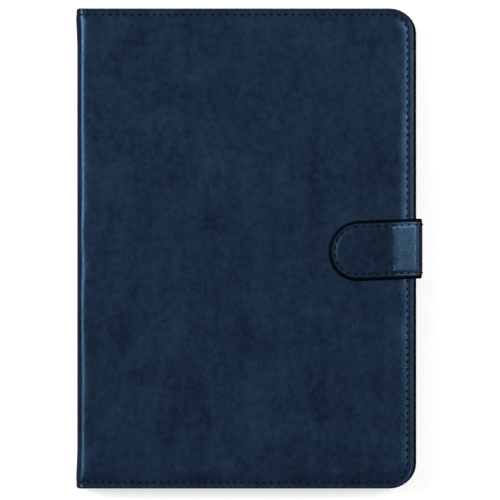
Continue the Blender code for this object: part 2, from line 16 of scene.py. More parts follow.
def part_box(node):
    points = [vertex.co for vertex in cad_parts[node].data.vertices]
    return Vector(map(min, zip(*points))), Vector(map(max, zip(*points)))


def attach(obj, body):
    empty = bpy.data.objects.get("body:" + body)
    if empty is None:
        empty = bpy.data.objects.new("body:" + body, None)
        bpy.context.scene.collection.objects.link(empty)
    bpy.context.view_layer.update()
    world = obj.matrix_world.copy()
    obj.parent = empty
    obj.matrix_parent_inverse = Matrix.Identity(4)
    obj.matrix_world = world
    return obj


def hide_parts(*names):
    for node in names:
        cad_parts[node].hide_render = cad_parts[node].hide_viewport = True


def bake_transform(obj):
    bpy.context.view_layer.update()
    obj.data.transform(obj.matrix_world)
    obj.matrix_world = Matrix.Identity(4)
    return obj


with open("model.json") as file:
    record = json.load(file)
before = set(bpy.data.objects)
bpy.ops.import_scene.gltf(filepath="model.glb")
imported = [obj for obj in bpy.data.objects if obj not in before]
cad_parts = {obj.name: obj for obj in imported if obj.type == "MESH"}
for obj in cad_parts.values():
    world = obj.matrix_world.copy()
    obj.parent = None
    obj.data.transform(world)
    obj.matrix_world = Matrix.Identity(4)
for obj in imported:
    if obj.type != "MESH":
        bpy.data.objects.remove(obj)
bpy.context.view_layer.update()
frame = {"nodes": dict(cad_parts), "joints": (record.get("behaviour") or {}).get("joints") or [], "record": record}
NODES = frame["nodes"]
MM = 0.001

# Places, read from the frame
FRONT_LOW, FRONT_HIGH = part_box("front_skin")
BACK_LOW, BACK_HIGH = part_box("back_skin")
SPINE_LOW, SPINE_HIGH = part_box("spine_skin")
PATCH_LOW, PATCH_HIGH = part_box("strap_patch")
SIDE_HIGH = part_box("strap_side")[1]
HALF_LENGTH = FRONT_HIGH[1]
PIVOT_X = next(j["pos_m"][0] for j in frame["joints"] if j["name"] == "spine_fold")
FOLD_RADIUS = PIVOT_X - SPINE_LOW[0]
FRONT_THICK = FRONT_HIGH[2] - FRONT_LOW[2]
BACK_THICK = BACK_HIGH[2] - BACK_LOW[2]
SPINE_THICK = SPINE_HIGH[0] - SPINE_LOW[0]

# Leather: its outline, the width of its edge, and the seam where its two pieces meet on the spine.
# It stands proud of the CAD model at the fore-edge, as the photographed leather does.
FORE_CORNER = 13 * MM
FOLD_THICK = 1.5 * MM
EDGE_PROUD = 0.55 * MM
EDGE_BAND = 4.6 * MM
GRID = 1.6 * MM
SEAM_Z = BACK_LOW[2] + FOLD_RADIUS + 1.5 * MM
SEAM_DEPTH = 0.5 * MM
SEAM_WIDTH = 0.8 * MM

# Relief of the front leather: the padded middle, its low edge, and the worn fold beside it
PAD_LIFT = 0.15 * MM
PAD_SLOPE = 6.5 * MM
EDGE_DROP = 0.35 * MM
FOLD_DROP = 0.3 * MM
FOLD_LEAN = 0.8 * MM
FOLD_WAVER = 0.14 * MM
CREASE_DEPTH = 0.22 * MM
CREASE_WIDTH = 0.45 * MM
CREASE_FROM_FOLD = 1.3 * MM
CORNER_FLARE = 0.7 * MM
FLARE_LENGTH = 22 * MM

# The simulated swell is much higher than the photographed one, so only this share of it is used
SWELL_SHARE = 0.13
SWELL_LIMIT = 0.8 * MM
SWELL_FRAMES = 24

# Camera hole of the back cover, and key legends
HOLE_CENTER = (74.35 * MM, 104 * MM)
HOLE_RADIUS = 7.5 * MM
LETTER_SIZE = 4.6 * MM
WORD_SIZE = 2.7 * MM

# Stitching. A slant is the sideways run of a stitch for its length.
STITCH_INSET = 3.3 * MM
FORE_STITCH_INSET = 3.85 * MM
STITCH_PITCH = 3.9 * MM
STITCH_LENGTH = 1.7 * MM
STITCH_SLANT = -0.4
THREAD_RADIUS = 0.4 * MM
THREAD_SIDES = 8
THREAD_STATIONS = 9

# Strap. It lies a little askew: the skew is how far -Y it goes for each metre toward the spine.
STRAP_INSET = 3.2 * MM
STRAP_PITCH = 4.1 * MM
STRAP_SLANT = -0.3
STRAP_PAD = 0.4 * MM
STRAP_SKEW = 0.036
STRAP_THICK = 2.75 * MM
STRAP_THINNING = 1.5 * MM
KNEE_X = 75 * MM

# Floor, light and camera
FLOOR_Z = -0.35 * MM
FLOOR_REACH = 3.0
FLOOR_GLOW = 0.6
WORLD_GLOW = 0.06
CAMERA_PLACE = (0.25 * MM, -0.83 * MM, 4.0)
FRAME_WIDTH = 266.4 * MM
SENSOR_WIDTH = 36.0


# Small tools

def smooth(value, start, end):
    t = np.clip((value - start) / (end - start), 0, 1)
    return t * t * (3 - 2 * t)


def add_object(name, data):
    obj = bpy.data.objects.new(name, data)
    bpy.context.scene.collection.objects.link(obj)
    return obj


def finish_mesh(name, mesh, surface, smooth_angle):
    """An object of a mesh, smooth all over, or up to an angle in degrees."""
    obj = add_object(name, mesh)
    mesh.materials.append(surface)
    mesh.shade_smooth()
    if smooth_angle:
        mesh.set_sharp_from_angle(angle=math.radians(smooth_angle))
    return obj


def new_object(name, vertices, faces, surface, smooth_angle=None):
    mesh = bpy.data.meshes.new(name)
    mesh.from_pydata([tuple(v) for v in vertices], [], faces)
    mesh.update()
    return finish_mesh(name, mesh, surface, smooth_angle)


def from_bmesh(name, bm, surface, smooth_angle=None):
    mesh = bpy.data.meshes.new(name)
    bm.to_mesh(mesh)
    bm.free()
    return finish_mesh(name, mesh, surface, smooth_angle)


def apply_modifiers(obj):
    bpy.context.view_layer.update()
    evaluated = obj.evaluated_get(bpy.context.evaluated_depsgraph_get())
    mesh = bpy.data.meshes.new_from_object(evaluated)
    obj.modifiers.clear()
    obj.data = mesh


def drill_camera_hole(obj, radius, low, high):
    """Cut for good through all that lies between two heights."""
    low, high = low - 2 * MM, high + 2 * MM
    bm = bmesh.new()
    bmesh.ops.create_cone(
        bm, cap_ends=True, segments=64, radius1=radius, radius2=radius, depth=high - low,
        matrix=Matrix.Translation((*HOLE_CENTER, (low + high) / 2)),
    )
    cutter = from_bmesh("cutter", bm, obj.data.materials[0])
    cut = obj.modifiers.new("hole", "BOOLEAN")
    cut.operation = "DIFFERENCE"
    cut.solver = "EXACT"
    cut.object = cutter
    apply_modifiers(obj)
    bpy.data.objects.remove(cutter, do_unlink=True)


# Materials

class Nodes:
    """A material with a Principled shader and short calls that add its texture nodes."""

    def __init__(self, name, roughness=0.5, metallic=0.0):
        self.material = bpy.data.materials.new(name)
        self.material.use_nodes = True
        self.tree = self.material.node_tree
        self.shader = self.tree.nodes["Principled BSDF"]
        self.set("Roughness", roughness)
        self.set("Metallic", metallic)
        self.place = self.add("ShaderNodeTexCoord").outputs["Object"]
        self.normal = None

    def add(self, kind, **values):
        node = self.tree.nodes.new(kind)
        for key, value in values.items():
            setattr(node, key, value)
        return node

    def link(self, start, end):
        self.tree.links.new(start, end)

    def set(self, socket, value):
        self.shader.inputs[socket].default_value = value

    def stretched(self, scale):
        """Object coordinates scaled per axis. A texture is drawn out along an axis below 1."""
        mapping = self.add("ShaderNodeMapping")
        mapping.inputs["Scale"].default_value = scale
        self.link(self.place, mapping.inputs["Vector"])
        return mapping.outputs["Vector"]

    def noise(self, size, detail=3.0, roughness=0.5, distortion=0.0, vector=None):
        """Noise whose features are about size metres across."""
        node = self.add("ShaderNodeTexNoise")
        node.inputs["Scale"].default_value = 1 / size
        node.inputs["Detail"].default_value = detail
        node.inputs["Roughness"].default_value = roughness
        node.inputs["Distortion"].default_value = distortion
        self.link(vector or self.place, node.inputs["Vector"])
        return node.outputs["Fac"]

    def cells(self, size):
        """Distance to the nearest border of cells that are about size metres across."""
        node = self.add("ShaderNodeTexVoronoi", feature="DISTANCE_TO_EDGE")
        node.inputs["Scale"].default_value = 1 / size
        self.link(self.place, node.inputs["Vector"])
        return node.outputs["Distance"]

    def wave(self, size, direction, distortion=0.0):
        """Bands that repeat every size metres. The texture's own period is 0.314 at scale 1."""
        node = self.add("ShaderNodeTexWave", bands_direction=direction)
        node.inputs["Scale"].default_value = 0.314 / size
        node.inputs["Distortion"].default_value = distortion
        self.link(self.place, node.inputs["Vector"])
        return node.outputs["Fac"]

    def range(self, value, low, high, to_low=0.0, to_high=1.0):
        node = self.add("ShaderNodeMapRange")
        node.inputs["From Min"].default_value = low
        node.inputs["From Max"].default_value = high
        node.inputs["To Min"].default_value = to_low
        node.inputs["To Max"].default_value = to_high
        self.link(value, node.inputs["Value"])
        return node.outputs["Result"]

    def math(self, operation, a, b):
        node = self.add("ShaderNodeMath", operation=operation)
        for socket, value in zip(node.inputs, (a, b)):
            if isinstance(value, float):
                socket.default_value = value
            else:
                self.link(value, socket)
        return node.outputs[0]

    def total(self, *parts):
        """The sum of values, each with its weight."""
        result = None
        for value, weight in parts:
            weighed = self.math("MULTIPLY", value, weight)
            result = weighed if result is None else self.math("ADD", result, weighed)
        return result

    def mix(self, factor, a, b):
        node = self.add("ShaderNodeMix", data_type="RGBA")
        self.link(factor, node.inputs["Factor"])
        for socket, value in ((node.inputs["A"], a), (node.inputs["B"], b)):
            if isinstance(value, tuple):
                socket.default_value = (*value, 1)
            else:
                self.link(value, socket)
        return node.outputs["Result"]

    def color(self, value):
        self.link(value, self.shader.inputs["Base Color"])

    def rough(self, value):
        self.link(value, self.shader.inputs["Roughness"])

    def bump(self, height, depth):
        """Adds relief of about depth metres. Reliefs add up, one bump node after another."""
        node = self.add("ShaderNodeBump")
        node.inputs["Distance"].default_value = depth
        self.link(height, node.inputs["Height"])
        if self.normal is not None:
            self.link(self.normal, node.inputs["Normal"])
        self.normal = node.outputs["Normal"]
        self.link(self.normal, self.shader.inputs["Normal"])


def leather(name, deep, worn, roughness=0.28, grain=0.6, gloss=0.6):
    """Pebbled leather: small cells, finer pores, long streaks, pale creases and a mottled tone.

    deep and worn are its darkest and palest colours, and grain is the strength of its relief.
    """
    m = Nodes(name, roughness)
    m.set("Specular IOR Level", gloss)
    m.set("Specular Tint", (0.29, 0.62, 1.0, 1))
    mottle = m.noise(26 * MM, 4, 0.55, 0.6)
    fine = m.noise(0.75 * MM, 2, 0.6, 0.3, m.stretched((1.0, 0.5, 1.0)))
    pebbles = m.range(m.cells(1.1 * MM), 0.0, 0.3)
    streaks = m.noise(8 * MM, 3, 0.5, 0.8, m.stretched((1.0, 0.3, 1.0)))
    folds = m.noise(16 * MM, 3, 0.55, 1.0, m.stretched((1.0, 0.4, 1.0)))
    creases = m.range(m.math("PINGPONG", folds, 0.5), 0.478, 0.5)
    tone = m.total((mottle, 0.4), (fine, 0.4), (streaks, 0.26), (creases, 0.045))
    m.color(m.mix(m.range(tone, 0.39, 0.68), deep, worn))
    m.bump(pebbles, 0.02 * MM * grain)
    m.bump(fine, 0.03 * MM * grain)
    m.bump(streaks, 0.08 * MM * grain)
    m.bump(creases, 0.018 * MM * grain)
    m.rough(m.range(m.noise(4 * MM, 3), 0.3, 0.7, roughness - 0.04, roughness + 0.08))
    return m.material


def cloth(name, dark, light, thread=0.45 * MM):
    """Fine twill or microfibre lining."""
    m = Nodes(name, 0.85)
    m.set("Sheen Weight", 0.25)
    m.set("Sheen Roughness", 0.5)
    across = m.wave(thread, "X")
    along = m.wave(thread, "Y")
    weave = m.math("MULTIPLY", across, along)
    fuzz = m.noise(0.5 * MM, 4, 0.7)
    cloudy = m.noise(18 * MM, 3)
    m.color(m.mix(m.total((weave, 0.4), (cloudy, 0.6)), dark, light))
    m.bump(weave, 0.06 * MM)
    m.bump(fuzz, 0.05 * MM)
    return m.material


def felt(name, dark, light):
    m = Nodes(name, 0.95)
    m.set("Sheen Weight", 0.5)
    m.set("Sheen Roughness", 0.6)
    fibres = m.noise(0.7 * MM, 5, 0.75, 1.5)
    clumps = m.noise(6 * MM, 3)
    m.color(m.mix(m.math("MULTIPLY", fibres, m.math("ADD", clumps, 0.4)), dark, light))
    m.bump(fibres, 0.18 * MM)
    return m.material


def plastic(name, dark, light, roughness, texture=0.25 * MM, relief=0.012 * MM):
    """Moulded plastic with a fine etched texture and slight unevenness of gloss."""
    m = Nodes(name, roughness)
    etched = m.noise(texture, 2, 0.6)
    broad = m.noise(30 * MM, 2)
    m.color(m.mix(broad, dark, light))
    m.rough(m.range(m.noise(8 * MM, 4), 0.3, 0.7, roughness - 0.02, roughness + 0.03))
    m.bump(etched, relief)
    return m.material


def metal(name, dark, light, roughness, grain_scale):
    m = Nodes(name, roughness, 1.0)
    brushed = m.noise(0.4 * MM, 3, 0.7, 0, m.stretched(grain_scale))
    m.color(m.mix(brushed, dark, light))
    m.rough(m.range(brushed, 0.2, 0.8, roughness - 0.08, roughness + 0.1))
    m.bump(brushed, 0.01 * MM)
    return m.material


def grainy(name, dark, light, roughness, relief, *grain):
    """One noise for tone and relief. grain is its size, detail, roughness and distortion."""
    m = Nodes(name, roughness)
    grains = m.noise(*grain)
    m.color(m.mix(grains, dark, light))
    m.bump(grains, relief)
    return m


def rubber(name, dark, light):
    return grainy(name, dark, light, 0.8, 0.04 * MM, 0.5 * MM, 4, 0.7).material


def thread_material():
    m = Nodes("black_thread", 0.7)
    m.set("Specular IOR Level", 0.12)
    twist = m.noise(0.35 * MM, 2, 0.5, 0, m.stretched((1.0, 2.5, 1.0)))
    m.color(m.mix(twist, (0.0006, 0.0008, 0.0015), (0.003, 0.004, 0.007)))
    m.bump(twist, 0.08 * MM)
    return m.material


def foam_material():
    m = Nodes("white_foam_cells", 0.95)
    pores = m.cells(0.8 * MM)
    m.color(m.mix(m.range(pores, 0, 0.3), (0.38, 0.38, 0.36), (0.72, 0.72, 0.7)))
    m.bump(pores, 0.12 * MM)
    return m.material


def circuit_material():
    m = Nodes("circuit_lacquer", 0.35)
    tracks = m.math("MULTIPLY", m.wave(1.6 * MM, "X", 1.5), m.wave(2.1 * MM, "Y", 2.0))
    m.color(m.mix(m.range(tracks, 0.45, 0.5), (0.006, 0.06, 0.025), (0.012, 0.12, 0.05)))
    m.bump(tracks, 0.02 * MM)
    return m.material


def lens_material():
    dark, light = (0.72, 0.8, 0.8), (0.85, 0.9, 0.9)
    m = grainy("clear_lens_plastic", dark, light, 0.08, 0.01 * MM, 2 * MM, 2)
    m.set("Transmission Weight", 0.7)
    m.set("IOR", 1.49)
    return m.material


NAVY = leather("navy_pebbled_leather", (0.0033, 0.0075, 0.019), (0.0135, 0.0262, 0.059))
STRAP_NAVY = leather(
    "navy_strap_leather", (0.003, 0.0072, 0.018), (0.012, 0.0235, 0.053),
    roughness=0.24, grain=0.45, gloss=0.7,
)
# Near-black edge leather: real edge paint, and also painted shade where its rims reach onto the faces and the edge
# rounds away into shadow.
EDGE_PAINT_AND_SHADE = leather(
    "edge_paint_and_painted_shade", (0.0004, 0.0006, 0.0012), (0.0015, 0.0022, 0.004),
    roughness=0.6, gloss=0.08,
)
THREAD = thread_material()
LINING = cloth("grey_microfibre", (0.028, 0.031, 0.037), (0.06, 0.065, 0.075))
FELT = felt("grey_felt_pad", (0.035, 0.036, 0.04), (0.12, 0.122, 0.13))
TRAY_PLASTIC = plastic("black_satin_tray", (0.014, 0.014, 0.016), (0.024, 0.024, 0.027), 0.36)
SHELL_PLASTIC = plastic("black_keyboard_shell", (0.013, 0.014, 0.017), (0.022, 0.023, 0.027), 0.42)
KEY_PLASTIC = plastic("black_keycap", (0.01, 0.01, 0.012), (0.017, 0.017, 0.02), 0.48, 0.18 * MM)
LEGEND = plastic("white_legend_print", (0.62, 0.63, 0.64), (0.74, 0.75, 0.76), 0.5)
STEEL = metal("brushed_steel_plate", (0.36, 0.36, 0.37), (0.58, 0.58, 0.6), 0.34, (1, 0.05, 1))
NICKEL = metal("nickel_plating", (0.5, 0.48, 0.45), (0.66, 0.64, 0.6), 0.22, (1, 1, 1))
FOIL = metal("battery_foil", (0.4, 0.41, 0.43), (0.56, 0.57, 0.6), 0.4, (0.4, 0.4, 1))
RUBBER = rubber("black_rubber_grain", (0.008, 0.008, 0.009), (0.022, 0.022, 0.024))
SILICONE = rubber("grey_silicone_grain", (0.24, 0.24, 0.25), (0.38, 0.38, 0.39))
CARD = grainy(
    "grey_card", (0.16, 0.14, 0.12), (0.34, 0.31, 0.27), 0.9, 0.05 * MM, 1.2 * MM, 5, 0.75, 0.8,
).material
FOAM = foam_material()
CIRCUIT = circuit_material()
LENS = lens_material()


# Sheets that follow a path

def distances(line):
    """How far along a line each of its points is."""
    return np.concatenate([[0], np.cumsum(np.linalg.norm(np.diff(line, axis=0), axis=1))])


def read_line(at, along, values):
    """Values of two numbers, given at distances along a line, read between them."""
    return np.stack([np.interp(at, along, values[:, k]) for k in (0, 1)], axis=-1)


class Path:
    """A line in the XZ plane with its distance along it and its outward normal."""

    def __init__(self, points, outward):
        points = np.array(points, float)
        self.s = distances(points)
        self.points = points
        tangent = np.gradient(points, self.s, axis=0)
        tangent /= np.linalg.norm(tangent, axis=1)[:, None]
        self.normals = np.stack([-tangent[:, 1], tangent[:, 0]], axis=1) * outward
        self.length = self.s[-1]

    def at(self, s):
        """The points and the outward normals at distances along the path, as (x, z)."""
        return read_line(s, self.s, self.points), read_line(s, self.s, self.normals)

    def place(self, s, y, height):
        """Points at a distance along the path, a place across it and a height over it."""
        point, normal = self.at(s)
        raised = point + normal * height[..., None]
        return np.stack([raised[..., 0], y, raised[..., 1]], axis=-1)


def curve_through(points):
    """A smooth Catmull-Rom line through a few points."""
    step = 0.25 * MM
    points = [np.array(p, float) for p in points]
    points = [2 * points[0] - points[1]] + points + [2 * points[-1] - points[-2]]
    line = []
    for a, b, c, d in zip(points, points[1:], points[2:], points[3:]):
        count = max(2, int(np.linalg.norm(c - b) / step))
        for i in range(count):
            t = i / count
            square, cube = 2 * a - 5 * b + 4 * c - d, 3 * b - a - 3 * c + d
            line.append(0.5 * (2 * b + (c - a) * t + square * t ** 2 + cube * t ** 3))
    line.append(points[-2])
    return line


class Sheet:
    """A sheet along a path: a grid inside, then rings that form its edge, round the far corners.

    half is half its width across the path. edge is a list of (inset from the outline, share of the
    thickness below the face). lift and thickness are functions of the place. The far end is at the
    path's end. The near end is open, unless near_corner rounds it as well.
    """

    def __init__(self, path, half, corner, edge, thickness, lift, near_corner=None, grid=GRID):
        self.path, self.half, self.corner, self.near_corner = path, half, corner, near_corner
        self.edge, self.thickness, self.lift = edge, thickness, lift
        self.end = path.length
        self.band = edge[0][0]
        self.rows = self.row_places(grid)
        count = max(3, int((self.end - 2 * self.band) / grid))
        self.columns = np.linspace(0, 1, count + 1)

    def row_places(self, grid):
        """Rows across the path from +Y to -Y, closer together beside the round corners."""
        inner = self.half - self.band
        places = set()
        for corner in {self.corner, self.near_corner} - {None}:
            center = self.half - corner
            radius = corner - self.band
            turn = max(4, int(radius * 1.6 / grid))
            for i in range(turn + 1):
                places.add(round(center + radius * math.sin(i / turn * math.pi / 2), 7))
        straight = self.half - max(c for c in (self.corner, self.near_corner) if c is not None)
        count = max(2, int(2 * straight / grid))
        upper = sorted(p for p in places if p > straight + 1e-6)
        middle = list(np.linspace(-straight, straight, count + 1))
        rows = [-p for p in reversed(upper)] + middle + upper
        rows[0], rows[-1] = -inner, inner
        return np.array(rows[::-1])

    def reach(self, corner):
        """How far the grid inside the edge is cut back at each row by its round corner."""
        center = self.half - corner
        radius = corner - self.band
        over = np.clip(np.abs(self.rows) - center, 0, radius)
        return radius - np.sqrt(radius ** 2 - over ** 2)

    def plan(self):
        """Distance along the path for every row and column."""
        right = self.end - self.band - self.reach(self.corner)
        left = np.zeros(len(self.rows))
        if self.near_corner is not None:
            left = self.band + self.reach(self.near_corner)
        return left[:, None] + (right - left)[:, None] * self.columns[None, :]

    def outline(self, s):
        """Grid places round the edge with the direction out of the sheet at each."""
        rows, columns = s.shape
        loop = [((0, c), (0, 1)) for c in range(columns)]
        loop += [((r, columns - 1), self.side_direction(r, self.corner, 1)) for r in range(1, rows - 1)]
        loop += [((rows - 1, c), (0, -1)) for c in reversed(range(columns))]
        if self.near_corner is not None:
            back = reversed(range(1, rows - 1))
            loop += [((r, 0), self.side_direction(r, self.near_corner, -1)) for r in back]
        return loop

    def side_direction(self, row, corner, side):
        """Out of the sheet at a row's end. side is 1 at the far end and -1 at the near one."""
        radius = corner - self.band
        over = max(0.0, abs(self.rows[row]) - (self.half - corner))
        sine = min(1.0, over / radius)
        return side * math.sqrt(1 - sine ** 2), math.copysign(sine, self.rows[row])

    def build(self, name, surface, back, flip=False, rim=None):
        """back is the share of the thickness at which a second grid closes the sheet.

        rim is the material of the edge, and the first and the last of the edge's rings that it covers.
        """
        s = self.plan()
        y = np.repeat(self.rows[:, None], s.shape[1], axis=1)
        vertices = [self.path.place(s, y, self.lift(s, y)).reshape(-1, 3)]
        rows, columns = s.shape

        def quads(first):
            corner = first + np.arange(rows * columns).reshape(rows, columns)
            return np.stack(
                [corner[:-1, :-1], corner[1:, :-1], corner[1:, 1:], corner[:-1, 1:]], axis=-1
            ).reshape(-1, 4)

        faces = [quads(0)]
        painted = []
        loop = self.outline(s)
        index = np.array([r * columns + c for (r, c), _ in loop])
        direction = np.array([d for _, d in loop])
        loop_s = np.array([s[place] for place, _ in loop])
        loop_y = np.array([y[place] for place, _ in loop])
        closed = self.near_corner is not None
        total = rows * columns

        def join(inner, outer):
            if closed:
                inner, outer = np.append(inner, inner[0]), np.append(outer, outer[0])
            faces.append(np.stack([inner[:-1], inner[1:], outer[1:], outer[:-1]], axis=-1))

        base = self.lift(loop_s, loop_y)
        previous = index
        ends = []
        for number, (inset, share) in enumerate(self.edge[1:], 1):
            out = self.band - inset
            ring_s = loop_s + direction[:, 0] * out
            ring_y = loop_y + direction[:, 1] * out
            height = base - share * self.thickness(ring_s)
            vertices.append(self.path.place(ring_s, ring_y, height))
            ring = total + np.arange(len(index))
            total += len(index)
            join(previous, ring)
            if rim and rim[1] <= number <= rim[2]:
                painted.append(len(faces) - 1)
            ends.append((int(ring[0]), int(ring[-1])))
            previous = ring
        vertices.append(self.path.place(s, y, -back * self.thickness(s)).reshape(-1, 3))
        faces.append(quads(total)[:, ::-1])
        join(previous, total + index)
        marks = np.concatenate([np.full(len(f), int(i in painted)) for i, f in enumerate(faces)])
        faces = np.concatenate(faces)
        if flip:
            faces = faces[:, ::-1]
        faces = faces.tolist()
        if not closed:
            left = [int(r * columns) for r in range(rows)]
            cap = left + [end for _, end in ends] + [total + i for i in reversed(left)]
            cap += [start for start, _ in reversed(ends)]
            faces.append(cap[::-1] if flip else cap)
            marks = np.append(marks, 0)
        obj = new_object(name, np.concatenate(vertices), faces, surface)
        if rim:
            obj.data.materials.append(rim[0])
            obj.data.polygons.foreach_set("material_index", marks.astype(np.int32))
        return obj

    def stitch_line(self, inset, end_inset, near):
        """Places (s, y) of a line inside the outline, from one near end round to the other."""
        turn, steps = self.corner, 24
        reach_s, reach_y = turn - end_inset, turn - inset
        center_s, center_y = self.end - turn, self.half - turn
        line = [(near, self.half - inset), (center_s, self.half - inset)]
        for i in range(1, steps):
            angle = math.pi / 2 * (1 - i / steps)
            line.append((center_s + reach_s * math.cos(angle), center_y + reach_y * math.sin(angle)))
        line.append((self.end - end_inset, center_y))
        mirrored = [(a, -b) for a, b in reversed(line)]
        return np.array(line + mirrored)


def flat(value):
    """The same height or thickness all over a sheet."""
    return lambda *places: np.full_like(places[0], value)


# Stitches

def walk(line, pitch):
    """Evenly spaced places along a line with the direction there."""
    steps = np.linalg.norm(np.diff(line, axis=0), axis=1)
    line = line[np.concatenate([[True], steps > 1e-9])]
    along = distances(line)
    count = max(1, round(along[-1] / pitch))
    places = (np.arange(count) + 0.5) * along[-1] / count
    before, at, after = (read_line(places + step, along, line) for step in (-0.2 * MM, 0, 0.2 * MM))
    direction = after - before
    return at, direction / np.linalg.norm(direction, axis=1)[:, None]


def stitches(name, sheet, line, depth, pitch=STITCH_PITCH, slant=STITCH_SLANT):
    """Short slanted stitches of round thread, depth metres below the face, with their ends sunk in."""
    sides, stations = THREAD_SIDES, THREAD_STATIONS
    places, directions = walk(line, pitch)
    vertices, faces = [], []
    for (s, y), (ds, dy) in zip(places, directions):
        ds, dy = ds - slant * dy, dy + slant * ds
        first = len(vertices)
        for i in range(stations):
            u = 2 * i / (stations - 1) - 1
            reach = u * STITCH_LENGTH / 2
            thick = THREAD_RADIUS * (1 - 0.35 * u ** 4)
            rise = THREAD_RADIUS * (0.55 - 1.5 * abs(u) ** 5)
            for k in range(sides):
                turn = 2 * math.pi * k / sides
                side = thick * math.cos(turn)
                up = thick * 0.8 * math.sin(turn) + rise
                at_s = s + ds * reach - dy * side
                at_y = y + dy * reach + ds * side
                vertices.append((at_s, at_y, up - depth))
        for i in range(stations - 1):
            for k in range(sides):
                a = first + i * sides + k
                b = first + i * sides + (k + 1) % sides
                faces.append((a, b, b + sides, a + sides))
        faces.append(tuple(first + k for k in reversed(range(sides))))
        faces.append(tuple(first + (stations - 1) * sides + k for k in range(sides)))
    at_s, at_y, up = np.array(vertices).T
    placed = sheet.path.place(at_s, at_y, up + sheet.lift(at_s, at_y))
    return new_object(name, placed, faces, THREAD)


# The two leather covers, with the folds and the spine

# Edges, as (inset, share of the thickness below the face). The rims are the first and last rings in the near-black
# edge material, which is edge paint and also painted shade along the outline.
STRAP_EDGE = (
    (4.9 * MM, 0.0), (4.3 * MM, 0.035), (3.75 * MM, 0.075), (STRAP_INSET, 0.11), (2.5 * MM, 0.08),
    (1.7 * MM, 0.09), (1.2 * MM, 0.13), (0.75 * MM, 0.22), (0.4 * MM, 0.36), (0.12 * MM, 0.52),
    (0.0, 0.66), (0.08 * MM, 0.8), (0.35 * MM, 0.92), (0.9 * MM, 0.99), (2.0 * MM, 1.0),
    (4.9 * MM, 1.0),
)
# The strap's dark rim starts about 1.7 mm in on its face, wider than edge paint alone: painted shade for the
# shadowed roll of the edge.
STRAP_PAINT_AND_SHADE_RIM = (EDGE_PAINT_AND_SHADE, 6, 13)
SOFT_EDGE = (
    (1.2 * MM, 0.0), (0.8 * MM, 0.03), (0.45 * MM, 0.14), (0.15 * MM, 0.4), (0.0, 0.7), (0.0, 1.0),
    (0.6 * MM, 1.0),
)
COVER_EDGE = (
    (EDGE_BAND, 0.0), (4.1 * MM, 0.026), (3.6 * MM, 0.055), (3.1 * MM, 0.062), (2.5 * MM, 0.06),
    (1.95 * MM, 0.065), (1.6 * MM, 0.09), (1.35 * MM, 0.06), (1.05 * MM, 0.045), (0.62 * MM, 0.07),
    (0.36 * MM, 0.12), (0.16 * MM, 0.22), (0.04 * MM, 0.36), (0.0, 0.52), (0.08 * MM, 0.68),
    (0.3 * MM, 0.82), (0.7 * MM, 0.93), (1.3 * MM, 0.985), (2.0 * MM, 1.0), (2.9 * MM, 0.97),
    (EDGE_BAND, 0.93),
)
# The covers' dark rim runs from 0.36 mm in on the face round the edge to the underside: edge paint, and painted
# shade for the dark outline where the edge turns away.
COVER_PAINT_AND_SHADE_RIM = (EDGE_PAINT_AND_SHADE, 11, 17)


def cover_path(outer_z, side, fore_x, spine_end_z):
    """From the seam on the spine, round the fold and across the cover to its fore-edge."""
    points = [(SPINE_LOW[0], spine_end_z)]
    fold_z = outer_z - side * FOLD_RADIUS
    rise = fold_z - spine_end_z
    count = max(2, int(abs(rise) / (0.5 * MM)))
    points += [(SPINE_LOW[0], spine_end_z + rise * i / count) for i in range(1, count)]
    turns = 16
    for i in range(turns + 1):
        angle = math.pi / 2 * i / turns
        points.append((
            PIVOT_X - FOLD_RADIUS * math.cos(angle),
            fold_z + side * FOLD_RADIUS * math.sin(angle),
        ))
    width = fore_x - PIVOT_X
    across = int(width / (1 * MM))
    points += [(PIVOT_X + width * i / across, outer_z) for i in range(1, across + 1)]
    return Path(points, side)


def cover_thickness(thick, fold_start, fold_end):
    """Thick over the cover and the spine, and thin in the fold between them."""
    def thickness(s):
        cover = smooth(s, fold_end + 0.3 * MM, fold_end + 2.2 * MM)
        spine = 1 - smooth(s, fold_start - 2.2 * MM, fold_start - 0.3 * MM)
        return FOLD_THICK + (thick - FOLD_THICK) * cover + (SPINE_THICK - FOLD_THICK) * spine

    return thickness


def seam_drop(s):
    """How far the leather dips into the seam on the spine."""
    return SEAM_DEPTH * (1 - smooth(s, 0, SEAM_WIDTH))


def simulated_swell(sheet, first_s):
    """Heights of a slightly oversize leather skin held along its sewn edge, from a cloth simulation.
    """
    columns, rows = 64, 90
    width, length = sheet.end - first_s, 2 * sheet.half
    across, along = np.meshgrid(np.linspace(0, 1, columns) * width, np.linspace(0, 1, rows) * length)
    across, along = across.ravel(), along.ravel()
    unevenness = 0.05 * MM * np.sin(across * 70 + 1.7 * np.sin(along * 31))
    vertices = np.stack([across, along, unevenness], axis=1)
    corner = np.arange(rows * columns).reshape(rows, columns)
    faces = np.stack([corner[:-1, :-1], corner[:-1, 1:], corner[1:, 1:], corner[1:, :-1]], axis=-1)
    skin = new_object("skin_simulation", vertices, faces.reshape(-1, 4).tolist(), NAVY)
    edge = np.concatenate([corner[0], corner[-1], corner[:, 0], corner[:, -1]])
    pinned = skin.vertex_groups.new(name="sewn")
    pinned.add(list(set(edge.tolist())), 1, "REPLACE")
    simulation = skin.modifiers.new("cloth", "CLOTH")
    settings = simulation.settings
    settings.quality = 6
    settings.mass = 0.4
    settings.tension_stiffness = 30
    settings.compression_stiffness = 30
    settings.bending_stiffness = 1.5
    settings.shrink_min = -0.008
    settings.use_pressure = True
    settings.uniform_pressure_force = 0.4
    settings.vertex_group_mass = "sewn"
    settings.effector_weights.gravity = 0
    simulation.point_cache.frame_start = 1
    simulation.point_cache.frame_end = SWELL_FRAMES
    for step in range(1, SWELL_FRAMES + 1):
        bpy.context.scene.frame_set(step)
    apply_modifiers(skin)
    heights = np.array([v.co.z for v in skin.data.vertices]).reshape(rows, columns)
    bpy.data.objects.remove(skin, do_unlink=True)
    bpy.context.scene.frame_set(1)
    return heights


